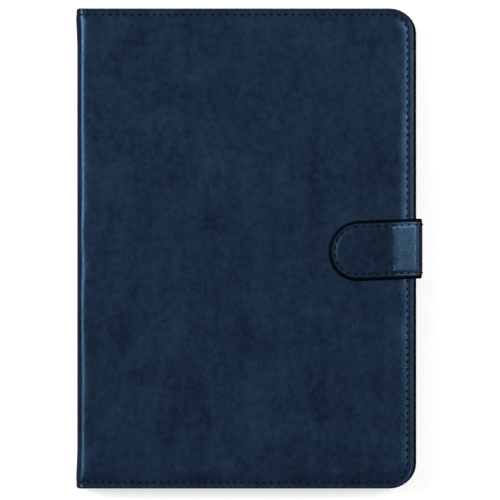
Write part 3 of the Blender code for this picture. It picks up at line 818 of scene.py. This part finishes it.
def read_grid(heights, u, v):
    """Bilinear reading of a grid of heights. u runs along its rows and v down its columns, 0 to 1."""
    rows, columns = heights.shape
    column = np.clip(u * (columns - 1), 0, columns - 1.001)
    row = np.clip(v * (rows - 1), 0, rows - 1.001)
    c, r = column.astype(int), row.astype(int)
    fc, fr = column - c, row - r
    upper = heights[r, c] * (1 - fc) + heights[r, c + 1] * fc
    lower = heights[r + 1, c] * (1 - fc) + heights[r + 1, c + 1] * fc
    return upper * (1 - fr) + lower * fr


def edge_distance(sheet, s, y):
    """How far a place on a cover is inside its three sewn edges."""
    corner_s, corner_y = sheet.end - sheet.corner, sheet.half - sheet.corner
    along, across = s - corner_s, np.abs(y) - corner_y
    round_part = sheet.corner - np.hypot(np.maximum(along, 0), np.maximum(across, 0))
    straight = np.minimum(sheet.end - s, sheet.half - np.abs(y))
    return np.where((along > 0) & (across > 0), round_part, straight)


def bend_leather(pieces):
    """Bakes the placement of the leather and its stitches into their meshes."""
    for piece in pieces:
        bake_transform(piece)


def build_front_leather():
    path = cover_path(FRONT_HIGH[2], 1, FRONT_HIGH[0] + EDGE_PROUD, SEAM_Z)
    fold_start = FRONT_HIGH[2] - FOLD_RADIUS - SEAM_Z
    fold_end = fold_start + math.pi / 2 * FOLD_RADIUS
    thickness = cover_thickness(FRONT_THICK, fold_start, fold_end)
    sheet = Sheet(path, HALF_LENGTH, FORE_CORNER, COVER_EDGE, thickness, None)
    swell = simulated_swell(sheet, fold_end)

    def lift(s, y):
        inside = edge_distance(sheet, s, y)
        to_end = HALF_LENGTH - np.abs(y)
        pad = 1 - (1 - np.clip((inside - EDGE_BAND) / PAD_SLOPE, 0, 1)) ** 3
        on_cover = smooth(s, fold_end - 2 * MM, fold_end + 4.2 * MM)
        u = (s - fold_end) / (sheet.end - fold_end)
        v = (y + sheet.half) / (2 * sheet.half)
        wave = read_grid(swell, np.clip(u, 0, 1), np.clip(v, 0, 1))
        wave = SWELL_SHARE * np.clip(wave, -SWELL_LIMIT, SWELL_LIMIT) * pad * on_cover
        crease_at = (s - fold_start + CREASE_FROM_FOLD) / CREASE_WIDTH
        crease = CREASE_DEPTH * np.exp(-crease_at ** 2)
        over_fold = smooth(s, fold_start - 1 * MM, fold_start + 2.5 * MM)
        waver = FOLD_WAVER * np.sin(y * 95 + 2 * np.sin(y * 37)) * over_fold * (1 - on_cover)
        waver = waver * smooth(to_end, 2 * MM, 12 * MM)
        shoulder = -FOLD_DROP * over_fold * (1 - on_cover)
        _, normal = path.at(s)
        lean = FOLD_LEAN * np.abs(normal[..., 0]) * smooth(s, 0, fold_start)
        flare = CORNER_FLARE * (1 - smooth(to_end, 0, FLARE_LENGTH))
        flare = flare * (1 - smooth(s, fold_start, fold_end))
        edge = EDGE_DROP * smooth(s, fold_end - 3 * MM, fold_end + 4 * MM)
        raised = ((PAD_LIFT + EDGE_DROP) * pad - edge) * on_cover
        return raised + wave + waver + shoulder + flare - lean - crease - seam_drop(s)

    sheet.lift = lift
    obj = sheet.build("front_leather", NAVY, 0.93, rim=COVER_PAINT_AND_SHADE_RIM)
    line = sheet.stitch_line(STITCH_INSET, FORE_STITCH_INSET, fold_end - 2.6 * MM)
    seam = stitches("front_stitches", sheet, line, 0.05 * FRONT_THICK)
    bend_leather((obj, seam))
    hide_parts("front_skin", "front_fold", "spine_skin", "front_foam")


def build_back_leather():
    path = cover_path(BACK_LOW[2], -1, BACK_HIGH[0] + EDGE_PROUD, SEAM_Z)
    fold_start = SEAM_Z - BACK_LOW[2] - FOLD_RADIUS
    fold_end = fold_start + math.pi / 2 * FOLD_RADIUS
    thickness = cover_thickness(BACK_THICK, fold_start, fold_end)

    def lift(s, y):
        return -seam_drop(s)

    sheet = Sheet(path, HALF_LENGTH, FORE_CORNER, COVER_EDGE, thickness, lift)
    obj = sheet.build("back_leather", NAVY, 0.9, flip=True, rim=COVER_PAINT_AND_SHADE_RIM)
    drill_camera_hole(obj, HOLE_RADIUS, BACK_LOW[2], BACK_HIGH[2])
    line = sheet.stitch_line(STITCH_INSET, FORE_STITCH_INSET, fold_end + 0.5 * MM)
    seam = stitches("back_stitches", sheet, line, 0.07 * BACK_THICK)
    bend_leather((obj, seam))
    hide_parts("back_skin", "back_fold")


# The strap: one leather band from the side of the case over its edge to the round end on the cover.
# Its course in millimetres is z up the case's side, then places round the edge and up the slope to
# the knee as (in from the side, below the top), then x across the cover.

STRAP_SIDE_Z = (0.9, 6, 12, 17)
STRAP_SLOPE = (
    (0.05, 6.9), (0.5, 4.8), (1.6, 3.25), (3.2, 2.4), (5.2, 1.98), (8, 1.5), (11, 0.98), (14.2, 0.42),
)
STRAP_COVER_X = (70, 60, 50)


def build_strap():
    outer_x, top_z = SIDE_HIGH[0], PATCH_HIGH[2] + STRAP_PAD
    course = [(outer_x, z * MM) for z in STRAP_SIDE_Z]
    course += [(outer_x - back * MM, top_z - down * MM) for back, down in STRAP_SLOPE]
    course.append((KNEE_X - 0.2 * MM, top_z - 0.03 * MM))
    course += [(x * MM, top_z) for x in STRAP_COVER_X]
    course.append((PATCH_LOW[0], top_z))
    path = Path(curve_through(course), -1)
    # Where the strap is over the edge of the case, and where it lies down on the cover
    bend = path.s[np.argmax(path.points[:, 1] > 20.5 * MM)]
    knee = path.s[np.argmax((path.points[:, 0] < KNEE_X) & (path.points[:, 1] > 20 * MM))]
    half = PATCH_HIGH[1]

    def thickness(s):
        thin = smooth(s, bend - 3 * MM, bend) * (1 - smooth(s, knee - 6 * MM, knee + 1 * MM))
        return STRAP_THICK - STRAP_THINNING * thin

    def lift(s, y):
        """A groove and a ridge at the knee, raised sides over the edge, and a slight wave."""
        side = smooth(np.abs(y), 0.4 * half, 0.8 * half)
        crease_at = knee + 0.03 * y
        groove = np.exp(-((s - crease_at) / (0.55 * MM)) ** 2) * (0.25 + 0.75 * side)
        ridge = np.exp(-((s - crease_at + 1.3 * MM) / (0.7 * MM)) ** 2) * side
        lip = smooth(np.abs(y), half - 3.5 * MM, half) * smooth(s, bend - 8 * MM, bend)
        lip = lip * (1 - smooth(s, bend + 4 * MM, bend + 9 * MM))
        wave = np.sin(s * 260 + y * 45) * smooth(s, knee, knee + 6 * MM)
        return -0.16 * MM * groove + 0.1 * MM * ridge + 0.5 * MM * lip + 0.03 * MM * wave

    sheet = Sheet(
        path, half, half - 0.2 * MM, STRAP_EDGE, thickness, lift, near_corner=6 * MM, grid=0.9 * MM,
    )
    obj = sheet.build("strap_leather", STRAP_NAVY, 1.0, rim=STRAP_PAINT_AND_SHADE_RIM)
    line = sheet.stitch_line(STRAP_INSET, STRAP_INSET, 7 * MM)
    seam = stitches("strap_stitches", sheet, line, 0.07 * STRAP_THICK, STRAP_PITCH, STRAP_SLANT)
    for piece in (obj, seam):
        for vertex in piece.data.vertices:
            vertex.co.y -= STRAP_SKEW * (outer_x - vertex.co.x)
    bend_leather((obj, seam))
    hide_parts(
        "strap_patch", "strap_patch_lining", "strap_bend", "strap_side", "strap_side_lining",
    )


# The linings inside, the felt in the tray and the tray's fabric hinge

def flat_sheet(name, node, body, corners, side, surface, hole=None, wrinkle=0.04 * MM):
    """A glued sheet in a node's place on a body, with soft edges.

    corners are the radii of its near and far corners. side is 1 where its face is up, -1 where down.
    hole is the radius of its hole for the camera.
    """
    low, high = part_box(node)
    z = high[2] if side > 0 else low[2]
    thick = high[2] - low[2]
    path = Path([(x, z) for x in np.linspace(low[0], high[0], 60)], side)

    def lift(s, y):
        wave = np.sin(s * 170 + 3 * np.sin(y * 41)) * np.sin(y * 120 + 2 * np.sin(s * 53))
        return wrinkle * (wave - 1)

    near_corner, far_corner = corners
    sheet = Sheet(path, high[1], far_corner, SOFT_EDGE, flat(thick), lift, near_corner, 3 * MM)
    obj = sheet.build(name, surface, 1.0, flip=side < 0)
    if hole:
        drill_camera_hole(obj, hole, low[2], high[2])
    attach(obj, body)
    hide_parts(node)
    return obj


def build_spine_lining():
    """The one lining that stands upright, along the inside of the spine."""
    low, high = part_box("spine_lining")
    path = Path([(high[0], z) for z in np.linspace(high[2], low[2], 12)], 1)
    corner = 2 * MM
    sheet = Sheet(path, high[1], corner, SOFT_EDGE, flat(high[0] - low[0]), flat(0), corner)
    obj = sheet.build("spine_lining_cloth", LINING, 1.0)
    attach(obj, "spine")
    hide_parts("spine_lining")
    return obj


def build_linings():
    cover = (1.8 * MM, FORE_CORNER - 2.4 * MM)
    tray = (4 * MM, 4 * MM)
    hinge = (2 * MM, 2 * MM)
    hole = HOLE_RADIUS + 0.2 * MM
    felt_hole = HOLE_RADIUS + 1 * MM
    front = flat_sheet("front_lining_cloth", "front_lining", "front_cover", cover, -1, LINING)
    back = flat_sheet("back_lining_cloth", "back_lining", "back_cover", cover, 1, LINING, hole)
    pad = flat_sheet("tray_felt_pad", "tray_felt", "tray", tray, 1, FELT, felt_hole, 0.02 * MM)
    strip = flat_sheet("tray_hinge_leather", "tray_hinge", "back_cover", hinge, 1, NAVY)
    spine = build_spine_lining()


# Small parts

def build_camera_ring():
    """The plastic grommet of the camera's hole: a profile of (radius, z) turned about the hole."""
    r, low, high = HOLE_RADIUS, BACK_LOW[2], BACK_HIGH[2]
    lip, wall = 1.5 * MM, 0.4 * MM
    profile = [
        (r - wall, high), (r - wall, low + 0.35 * MM), (r - wall + 0.2 * MM, low + 0.1 * MM),
        (r - 0.1 * MM, low), (r + lip - 0.5 * MM, low - 0.1 * MM), (r + lip - 0.15 * MM, low),
        (r + lip, low + 0.25 * MM), (r - 0.02 * MM, low + 0.35 * MM), (r - 0.02 * MM, high),
    ]
    vertices, faces = [], []
    count, segments = len(profile), 72
    for i in range(segments):
        angle = 2 * math.pi * i / segments
        for radius, z in profile:
            x = HOLE_CENTER[0] + radius * math.cos(angle)
            y = HOLE_CENTER[1] + radius * math.sin(angle)
            vertices.append((x, y, z))
        after = (i + 1) % segments
        for k in range(count):
            right = (k + 1) % count
            faces.append((i * count + k, after * count + k, after * count + right, i * count + right))
    ring = new_object("camera_ring", vertices, faces, SHELL_PLASTIC, 40)
    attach(ring, "back_cover")


def key_tops(node):
    """The (x, y) centers of a group's keys, from +Y to -Y, and the height of their flat faces.

    The keys face -Z while the case is closed. A key's face may be split into several polygons.
    """
    mesh = NODES[node].data
    spots = np.array([v.co for v in mesh.vertices])
    level = spots[:, 2].min()
    near = 0.01 * MM
    faces = [p for p in mesh.polygons if abs(p.center.z - level) < near and p.normal.z < -0.9]
    sides = [[spots[v][1] for v in p.vertices] for p in faces]
    spans = sorted(((max(side), min(side)) for side in sides), reverse=True)
    joined = []
    for high, low in spans:
        if joined and high > joined[-1][1] + near:
            joined[-1][1] = min(joined[-1][1], low)
        else:
            joined.append([high, low])
    x = np.mean([spots[v][0] for p in faces for v in p.vertices])
    return [(x, (high + low) / 2) for high, low in joined], level


def letter_mesh(text, size):
    """Flat raised letters in the XY plane, centred on the origin."""
    curve = bpy.data.curves.new("letter", "FONT")
    curve.body = text
    curve.size = size
    curve.align_x = "CENTER"
    curve.align_y = "CENTER"
    curve.extrude = 0.02 * MM
    curve.resolution_u = 3
    holder = add_object("letter", curve)
    bpy.context.view_layer.update()
    mesh = bpy.data.meshes.new_from_object(holder.evaluated_get(bpy.context.evaluated_depsgraph_get()))
    bpy.data.objects.remove(holder, do_unlink=True)
    bpy.data.curves.remove(curve)
    return mesh


def build_legends():
    """Printed letters, numbers and plain words, read from the open case."""
    turn = Matrix(((0, -1, 0, 0), (-1, 0, 0, 0), (0, 0, -1, 0), (0, 0, 0, 1)))
    for node, labels in LEGENDS.items():
        centers, level = key_tops(node)
        bm = bmesh.new()
        for (x, y), label in zip(centers, labels.split()):
            mesh = letter_mesh(label, LETTER_SIZE if len(label) == 1 else WORD_SIZE)
            mesh.transform(Matrix.Translation((x, y, level)) @ turn)
            bm.from_mesh(mesh)
            bpy.data.meshes.remove(mesh)
        obj = from_bmesh(node + "_legends", bm, LEGEND, 30)
        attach(obj, node + "_body")


def add_screw(bm, x, y, top):
    """A cross-head screw that faces +Z: rings over its head, then down into its cross."""
    circle = [math.pi * k / 16 for k in range(32)]
    cross = []
    for angle in circle:
        arm = max(abs(math.cos(angle)), abs(math.sin(angle)))
        reach = (0.95 if arm > 0.97 else 0.34) * MM
        cross.append((reach * math.cos(angle), reach * math.sin(angle)))
    rings = []
    for radius, rise in ((2.0, -0.5), (2.0, 0.06), (1.85, 0.14), (0.75, 0.16)):
        radius *= MM
        rings.append([
            bm.verts.new((x + radius * math.cos(a), y + radius * math.sin(a), top + rise * MM))
            for a in circle
        ])
    for share, rise in ((1, 0.15), (0.7, -0.45)):
        rings.append([bm.verts.new((x + share * a, y + share * b, top + rise * MM)) for a, b in cross])
    for inner, ring in zip(rings, rings[1:]):
        for k in range(32):
            after = (k + 1) % 32
            bm.faces.new((inner[k], inner[after], ring[after], ring[k]))
    bm.faces.new(rings[-1])
    bm.faces.new(rings[0][::-1])


def build_screws():
    """Six small screws in the keyboard's underside, which is up while the case is closed."""
    low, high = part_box("keyboard_bottom")
    from_side, from_end = 7 * MM, 16 * MM
    bm = bmesh.new()
    for x in (low[0] + from_side, high[0] - from_side):
        for y in (low[1] + from_end, 0.0, high[1] - from_end):
            add_screw(bm, x, y, high[2])
    screws = from_bmesh("keyboard_screws", bm, STEEL, 35)
    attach(screws, "keyboard")


def finish_nodes():
    """Materials for the parts kept from the CAD model, and rounded edges on the moulded ones."""
    for part in frame["record"]["subparts"]:
        obj = NODES[part["node"]]
        surface, radius = SLOTS[part["material_slot"]]
        for material_slot in obj.material_slots:
            material_slot.material = surface
        if radius:
            weld = obj.modifiers.new("weld", "WELD")
            weld.merge_threshold = 0.01 * MM
            bevel = obj.modifiers.new("round_edges", "BEVEL")
            bevel.width = radius
            bevel.segments = 2
            bevel.limit_method = "ANGLE"
            bevel.angle_limit = math.radians(35)


# By the CAD model's material slot: its look, and the radius of its edges where they are rounded
SLOTS = {
    "navy_leather": (NAVY, None),
    "grey_lining": (LINING, None),
    "grey_board": (CARD, None),
    "white_foam": (FOAM, None),
    "grey_felt": (FELT, None),
    "grey_silicone": (SILICONE, None),
    "green_circuit_board": (CIRCUIT, None),
    "clear_lens": (LENS, None),
    "black_tray_plastic": (TRAY_PLASTIC, 0.35 * MM),
    "black_keyboard_plastic": (SHELL_PLASTIC, 0.3 * MM),
    "black_key_plastic": (KEY_PLASTIC, 0.3 * MM),
    "black_rubber": (RUBBER, 0.3 * MM),
    "silver_battery_foil": (FOIL, 0.5 * MM),
    "steel": (STEEL, 0.12 * MM),
    "nickel_magnet": (NICKEL, 0.15 * MM),
}

# What is printed on the keys of each group, from +Y to -Y. The last ones are arrows.
LEGENDS = {
    "row_function": "esc F1 F2 F3 F4 F5 F6 F7 F8 F9 F10 F11 F12 del",
    "row_number": "` 1 2 3 4 5 6 7 8 9 0 - =",
    "key_backspace": "backspace",
    "key_tab": "tab",
    "row_upper": "Q W E R T Y U I O P [ ] \\",
    "key_caps": "caps",
    "row_home": "A S D F G H J K L ; '",
    "key_enter": "enter",
    "key_shift_left": "shift",
    "row_lower": "Z X C V B N M , . /",
    "key_shift_right": "shift",
    "row_control_left": "fn ctrl alt cmd",
    "row_control_right": "alt \u2190 \u2191 \u2193 \u2192",
}

build_front_leather()
build_back_leather()
build_strap()
build_linings()
build_camera_ring()
build_legends()
build_screws()
finish_nodes()


# Floor, light and camera

def build_floor():
    """White without a shadow, and not seen in the gloss of the leather, as in the photograph."""
    bm = bmesh.new()
    bmesh.ops.create_grid(bm, x_segments=2, y_segments=2, size=FLOOR_REACH)
    m = Nodes("pale_floor", 0.7)
    m.set("Emission Color", (1, 1, 1, 1))
    m.set("Emission Strength", FLOOR_GLOW)
    grain = m.noise(40 * MM, 2)
    m.color(m.mix(grain, (0.92, 0.92, 0.92), (0.94, 0.94, 0.94)))
    floor = from_bmesh("floor", bm, m.material)
    floor.location.z = FLOOR_Z
    floor.visible_glossy = False


def area_light(name, place, size, power):
    """A soft light turned to the model's middle. size is its level side, then its other side."""
    data = bpy.data.lights.new(name, "AREA")
    data.shape = "RECTANGLE"
    data.size, data.size_y = size
    data.energy = power
    light = add_object(name, data)
    light.location = place
    direction = Vector((0, 0, 0)) - Vector(place)
    light.rotation_euler = direction.to_track_quat("-Z", "Y").to_euler()


def build_light():
    """Softboxes on all sides, and two narrow strips for the highlights along spine and fore-edge."""
    world = bpy.data.worlds.new("studio")
    world.use_nodes = True
    background = world.node_tree.nodes["Background"]
    background.inputs["Color"].default_value = (1, 1, 1, 1)
    background.inputs["Strength"].default_value = WORLD_GLOW
    bpy.context.scene.world = world
    area_light("softbox_left", (-1.35, 0.4, 1.65), (1.0, 0.6), 26)
    area_light("softbox_right", (1.75, 0.3, 1.2), (1.4, 0.6), 6)
    area_light("softbox_far", (0.1, 1.8, 1.0), (1.4, 0.7), 6)
    area_light("softbox_near", (0, -1.8, 1.2), (1.4, 0.7), 3)
    area_light("strip_left", (-0.85, 0.4, 1.8), (0.7, 0.2), 5)
    area_light("strip_right", (0.95, 0.35, 1.8), (0.7, 0.16), 9)


def build_camera():
    """Square to the front cover from far above, so that hardly any of the sides shows."""
    data = bpy.data.cameras.new("camera")
    data.sensor_width = SENSOR_WIDTH
    data.lens = SENSOR_WIDTH * (CAMERA_PLACE[2] - FRONT_HIGH[2]) / FRAME_WIDTH
    data.clip_end = 20
    camera = add_object("camera", data)
    camera.location = CAMERA_PLACE
    bpy.context.scene.camera = camera


build_floor()
build_light()
build_camera()
bpy.context.scene.view_settings.view_transform = "Standard"
